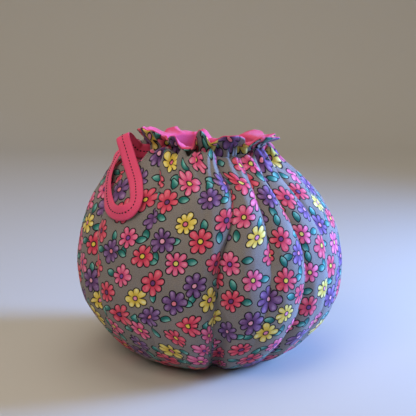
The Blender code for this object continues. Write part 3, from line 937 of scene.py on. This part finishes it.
def leafLayer(ground, u, v, wash, shift, turn, seed):
    i, j, x, y = repeatCell(u, v, shift)
    first, second, third = chance(i, j, seed)
    fourth, fifth = chance(i, j, seed + 5.0)[1:]
    x = jittered(x, fourth, leafShape["jitter"])
    y = jittered(y, fifth, leafShape["jitter"])
    # one of two flowers beside the gap is the one that the leaf grows from
    angle = calc("FLOOR", first * 2.0) * (math.pi / 2) + math.radians(turn)
    angle = jittered(angle, second, leafShape["lean"])
    cos, sin = calc("COSINE", angle), calc("SINE", angle)
    along = x * cos + y * sin - leafShape["toFlower"]
    across = y * cos - x * sin
    halfLong, halfWide = leafShape["long"], leafShape["wide"]
    bend = (halfLong**2 + halfWide**2) / (2 * halfWide)
    side = abs(across) + (bend - halfWide)
    edge = calc("SQRT", along**2.0 + side**2.0) - bend
    edge = edge + calc("LESS_THAN", leafShape["chance"], third) * 50.0    # far away: no leaf
    bright = below(across * -0.55 + wash * 2.2, 0.4, 1.9)
    deep = below(along, -3.5, 3.0)
    colour = mixColour(deep, leafColours[0], leafColours[1])
    colour = mixColour(bright * (deep * 0.75), colour, leafColours[2])
    return outlined(edge, 0.10, ground, colour)


def flowerLayer(ground, u, v, wash, streak, shift, seed):
    i, j, x, y = repeatCell(u, v, shift)
    first, second, third = chance(i, j, seed)
    fourth, fifth, sixth = chance(i, j, seed + 1.0)
    size = third * flowerPrint["size"][1] + flowerPrint["size"][0]
    x = jittered(x, first, flowerPrint["jitter"]) / size
    y = jittered(y, second, flowerPrint["jitter"]) / size
    radius = calc("SQRT", x**2.0 + y**2.0)
    petals = calc("FLOOR", fourth * 1.999) + flowerPrint["petals"]
    sector = 2 * math.pi / petals
    place = (calc("ARCTAN2", y, x) + fifth * 6.283) / sector
    whole = calc("FLOOR", place)
    angle = (place - whole - 0.5) * sector
    longer, wider, leaning = chance(i + whole % petals * 0.137, j, seed + 2.0)
    angle = jittered(angle, leaning, flowerPrint["petalLean"])
    along = radius * calc("COSINE", angle)
    across = abs(radius * calc("SINE", angle))
    reach = longer * flowerPrint["reach"][1] + flowerPrint["reach"][0]
    breadth = wider * flowerPrint["petalShare"][1] + flowerPrint["petalShare"][0]
    breadth = breadth * (calc("TANGENT", sector * 0.5) * reach)
    share = calc("DIVIDE", along, reach, clamp=True)
    waist = flowerPrint["petalWaist"]
    breadth = breadth * (share * (1.0 - waist) + waist)
    past = calc("MAXIMUM", along - reach, 0.0)
    edge = calc("SQRT", past**2.0 + across**2.0) - breadth
    edge = calc("MINIMUM", edge, radius - flowerPrint["core"])

    # which colour, from the chart
    columns, lines = len(flowerChart), len(flowerChart[0])
    cell = (i + seed) % float(columns) * float(lines) + j % float(lines)
    levels = [((flowerKinds.index(letter) + 0.5) / 4,) * 3 for letter in "".join(flowerChart)]
    kind = colourSteps((cell + 0.5) / float(columns * lines), levels)
    deep, main, light, disc, otherDisc = (colourSteps(kind, part) for part in flowerColours.values())
    disc = mixColour(calc("GREATER_THAN", sixth, flowerPrint["otherDisc"]), disc, otherDisc)

    # watercolour: deep round the centre and along the petals' sides, light down their middles
    start, end, strength = petalWash["centre"]
    colour = mixColour(below(radius + wash * 4.0, start, end) * strength, main, deep)
    pale = below(across / breadth, *petalWash["middle"]) * below(radius * -1.0, *petalWash["outer"])
    pale = calc("MULTIPLY", pale, streak * 3.2 - 1.0, clamp=True)
    colour = mixColour(pale, colour, light)
    start, end, strength = petalWash["rim"]
    colour = mixColour(below(edge * -1.0, start, end) * strength, colour, deep)
    start, end, strength = petalWash["meeting"]
    meeting = below((sector * 0.5 - abs(angle)) * radius, start, end)
    meeting = meeting * below(radius, *petalWash["meetingEnd"])
    colour = mixColour(meeting * strength, colour, printInk)
    ring, centre = flowerPrint["ring"], flowerPrint["disc"]
    colour = mixColour(below(radius, ring - 0.15, ring + 0.2), colour, printInk)
    colour = mixColour(below(radius, centre - 0.15, centre + 0.15), colour, disc)
    return outlined(edge, 0.12, ground, colour)


# A cotton's plain weave, one set of threads over the other, on soft broad creases.
def weaveBump(u, v, shader, creases):
    turns = 2 * math.pi / 0.62       # 0.62 mm for two threads
    threads = bumpOf(calc("SINE", u * turns) * calc("SINE", v * turns), 0.35, 0.0001)
    feed(shader.inputs["Normal"], bumpOf(creases, 0.5, 0.0006, threads))


# Place on the flat cloth, in mm.
def clothPlace():
    uv = newNode("ShaderNodeUVMap", uv_map="flatCloth")
    scale = newNode("ShaderNodeVectorMath", operation="SCALE")
    feed(scale.inputs["Scale"], 1000.0)
    feed(scale.inputs[0], Value(uv.outputs["UV"]))
    place = Value(scale.outputs[0])
    parts = newNode("ShaderNodeSeparateXYZ")
    feed(parts.inputs[0], place)
    return place, Value(parts.outputs[0]), Value(parts.outputs[1])


# Lattices of the print: two of leaves, each both ways round, and two of flowers.
leafLattices = (((0.5, 0.0), 0.0, 11.0), ((0.5, 0.0), 180.0, 23.0),
                ((0.0, 0.5), 0.0, 37.0), ((0.0, 0.5), 180.0, 51.0))
flowerLattices = (((0.0, 0.0), 1.0), ((0.5, 0.5), 4.0))


def printedCotton():
    material, shader = newMaterial("printed-cotton", 0.86, 0.12)
    place, u, v = clothPlace()
    wash = cloud(place, 0.55, 3.0, 0.6)
    streak = cloud(place, 0.34)
    speckle = cloud(place, 1.7, 3.0, 0.75)
    grey = (speckle * 1.5 + 0.25) * (cloud(place, 0.05) * 0.24 + 0.88)
    colour = toned(printGround, grey)
    for shift, turn, seed in leafLattices:
        colour = leafLayer(colour, u, v, wash, shift, turn, seed)
    for shift, seed in flowerLattices:
        colour = flowerLayer(colour, u, v, wash, streak, shift, seed)
    feed(shader.inputs["Base Color"], toned(colour, speckle * 0.60 + 0.70))
    weaveBump(u, v, shader, cloud(place, 0.16, 3.0))
    return material


def pinkCotton():
    material, shader = newMaterial("pink-cotton", 0.84, 0.15)
    place, u, v = clothPlace()
    colour = mixColour(cloud(place, 0.06, 3.0, 0.6), (0.70, 0.050, 0.140), (0.86, 0.100, 0.225))
    grain = cloud(place, 2.2, 3.0, 0.7) * 0.5 + 0.75
    feed(shader.inputs["Base Color"], toned(colour, grain))
    weaveBump(u, v, shader, cloud(place, 0.2, 3.0))
    return material


def pinkTape():
    material, shader = newMaterial("pink-tape", 0.78, 0.15)
    place, u, v = clothPlace()
    selvedge = below(abs(v) * -1.0, -5.5, -4.9)
    rib = calc("SINE", u * (2 * math.pi / 0.9))      # cross ribs, close together
    colour = mixColour(cloud(place, 1.8, 3.0, 0.7), (0.80, 0.055, 0.150), (0.92, 0.110, 0.225))
    colour = mixColour(selvedge * 0.35, colour, (0.62, 0.030, 0.105))
    # painted shade: the colour darkens in the grooves between the ribs
    colour = mixColour(below(rib, -1.0, 0.2) * 0.12, colour, (0.5, 0.02, 0.08))
    feed(shader.inputs["Base Color"], colour)
    feed(shader.inputs["Normal"], bumpOf(rib, 0.5, 0.00012))
    return material


def blackThread():
    material, shader = newMaterial("black-thread", 0.7, 0.1)
    fuzz = cloud(Value(newNode("ShaderNodeTexCoord").outputs["Object"]), 3000.0, 2.0, 0.6)
    dark, pale = (tuple(share * part for part in (0.012, 0.010, 0.014)) for share in (0.6, 1.4))
    feed(shader.inputs["Base Color"], mixColour(fuzz, dark, pale))
    return material


printMaterial = printedCotton()
liningMaterial = pinkCotton()
tapeMaterial = pinkTape()
threadMaterial = blackThread()
for name, piece in pieces.items():
    piece.data.materials.append(printMaterial if name.startswith("outer") else liningMaterial)
tape.data.materials.append(tapeMaterial)
print("materials made")


# Stitches along a line, by Geometry Nodes.
def stitchTree():
    tree = bpy.data.node_groups.new("runningStitch", "GeometryNodeTree")
    face = tree.interface
    face.new_socket("Geometry", in_out="INPUT", socket_type="NodeSocketGeometry")
    sizes = {}
    for label, value in (("Pitch", 0.0028), ("Stitch Length", 0.0018), ("Thread Width", 0.00125)):
        socket = face.new_socket(label, in_out="INPUT", socket_type="NodeSocketFloat")
        socket.default_value = value
        sizes[label] = socket.identifier
    paint = face.new_socket("Thread", in_out="INPUT", socket_type="NodeSocketMaterial")
    sizes["Thread"] = paint.identifier
    face.new_socket("Geometry", in_out="OUTPUT", socket_type="NodeSocketGeometry")
    nodes = tree.nodes
    start = nodes.new("NodeGroupInput")
    end = nodes.new("NodeGroupOutput")
    toCurve = nodes.new("GeometryNodeMeshToCurve")
    resample = nodes.new("GeometryNodeResampleCurve")
    resample.mode = "LENGTH"
    toPoints = nodes.new("GeometryNodeInstanceOnPoints")
    stitch = nodes.new("GeometryNodeMeshUVSphere")
    stitch.inputs["Segments"].default_value = 8
    stitch.inputs["Rings"].default_value = 6
    stitch.inputs["Radius"].default_value = 0.5
    shape = nodes.new("GeometryNodeTransform")
    scale = nodes.new("ShaderNodeCombineXYZ")
    flat = nodes.new("ShaderNodeMath")
    flat.operation = "MULTIPLY"
    flat.inputs[1].default_value = 0.55
    tangent = nodes.new("GeometryNodeInputTangent")
    align = nodes.new("FunctionNodeAlignRotationToVector")
    align.axis = "X"
    realize = nodes.new("GeometryNodeRealizeInstances")
    setMaterial = nodes.new("GeometryNodeSetMaterial")
    smooth = nodes.new("GeometryNodeSetShadeSmooth")
    for source, target in (
        (start.outputs["Geometry"], toCurve.inputs[0]),
        (toCurve.outputs[0], resample.inputs["Curve"]),
        (start.outputs["Pitch"], resample.inputs["Length"]),
        (resample.outputs[0], toPoints.inputs["Points"]),
        (start.outputs["Stitch Length"], scale.inputs[0]),
        (start.outputs["Thread Width"], scale.inputs[1]),
        (start.outputs["Thread Width"], flat.inputs[0]),
        (flat.outputs[0], scale.inputs[2]),
        (stitch.outputs["Mesh"], shape.inputs["Geometry"]),
        (scale.outputs[0], shape.inputs["Scale"]),
        (shape.outputs[0], toPoints.inputs["Instance"]),
        (tangent.outputs[0], align.inputs["Vector"]),
        (align.outputs[0], toPoints.inputs["Rotation"]),
        (toPoints.outputs[0], realize.inputs[0]),
        (realize.outputs[0], smooth.inputs[0]),
        (smooth.outputs[0], setMaterial.inputs["Geometry"]),
        (start.outputs["Thread"], setMaterial.inputs["Material"]),
        (setMaterial.outputs[0], end.inputs[0]),
    ):
        tree.links.new(source, target)
    return tree, sizes


stitchNodes, stitchSizes = stitchTree()


def stitchPiece(name, lines, material):
    points = []
    edges = []
    for line in lines:
        start = len(points)
        points += (line * mm).tolist()
        edges += [(start + k, start + k + 1) for k in range(len(line) - 1)]
    mesh = bpy.data.meshes.new(name + "-line")
    mesh.from_pydata(points, edges, [])
    guide = linked(bpy.data.objects.new(name + "-line", mesh))
    modifier = guide.modifiers.new("stitches", "NODES")
    modifier.node_group = stitchNodes
    modifier[stitchSizes["Thread"]] = material
    graph = bpy.context.evaluated_depsgraph_get()
    result = bpy.data.meshes.new_from_object(guide.evaluated_get(graph))
    result.name = name
    guide.modifiers.clear()
    bpy.data.objects.remove(guide)
    return linked(bpy.data.objects.new(name, result))


tapeStitches = stitchPiece("tape-stitches", stitchLines, threadMaterial)
print("stitches", len(tapeStitches.data.polygons))


# Floor, backdrop and light.
stageSizes = {
    "floor": 3.0,
    "floorColour": (0.54, 0.50, 0.43),
    "wallDistance": 1.5,
    "light": {
        # name: place, aim, size, power, colour, spread in degrees
        "window": ((1.12, 0.20, 0.40), (0.0, 0.0, 0.07), 0.36, 13.5, (0.22, 0.42, 1.0), 90.0),
        "room": ((-0.7, -1.2, 1.6), (0.0, 0.0, 0.08), 1.2, 17.5, (1.0, 0.90, 0.80), 180.0),
        "top": ((0.1, 0.1, 1.8), (0.0, 0.0, 0.1), 1.2, 9.0, (1.0, 0.97, 0.94), 180.0),
    },
}


def addStage():
    half = stageSizes["floor"]
    far = stageSizes["wallDistance"]
    profile = [(-half, 0.0)]
    for step in range(13):
        angle = math.radians(90.0 * step / 12)
        profile.append((far - 0.4 + 0.4 * math.sin(angle), 0.4 - 0.4 * math.cos(angle)))
    profile.append((far, half))
    points = [(x, y, z) for y, z in profile for x in (-half, half)]
    faces = [(2 * k, 2 * k + 1, 2 * k + 3, 2 * k + 2) for k in range(len(profile) - 1)]
    floor = newPiece("pale-floor", points, faces)
    material = bpy.data.materials.new("pale-floor")
    material.use_nodes = True
    shader = material.node_tree.nodes["Principled BSDF"]
    shader.inputs["Base Color"].default_value = (*stageSizes["floorColour"], 1.0)
    shader.inputs["Roughness"].default_value = 0.9
    floor.data.materials.append(material)
    for name, (place, aim, size, power, colour, spread) in stageSizes["light"].items():
        data = bpy.data.lights.new(name, "AREA")
        data.size = size
        data.energy = power
        data.color = colour
        data.spread = math.radians(spread)
        light = linked(bpy.data.objects.new(name, data))
        light.location = place
        light.rotation_euler = (Vector(aim) - Vector(place)).to_track_quat("-Z", "Y").to_euler()
    world = bpy.context.scene.world or bpy.data.worlds.new("world")
    bpy.context.scene.world = world
    world.use_nodes = True
    back = world.node_tree.nodes["Background"]
    back.inputs["Color"].default_value = (0.95, 0.93, 0.90, 1.0)
    back.inputs["Strength"].default_value = 0.2


addStage()

# What each piece is, for the frame.
for node, piece in pieces.items():
    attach(piece, "root")
    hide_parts(node)
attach(tape, "root")
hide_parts("drawstring")
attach(tapeStitches, "root")
tapeLength * mm
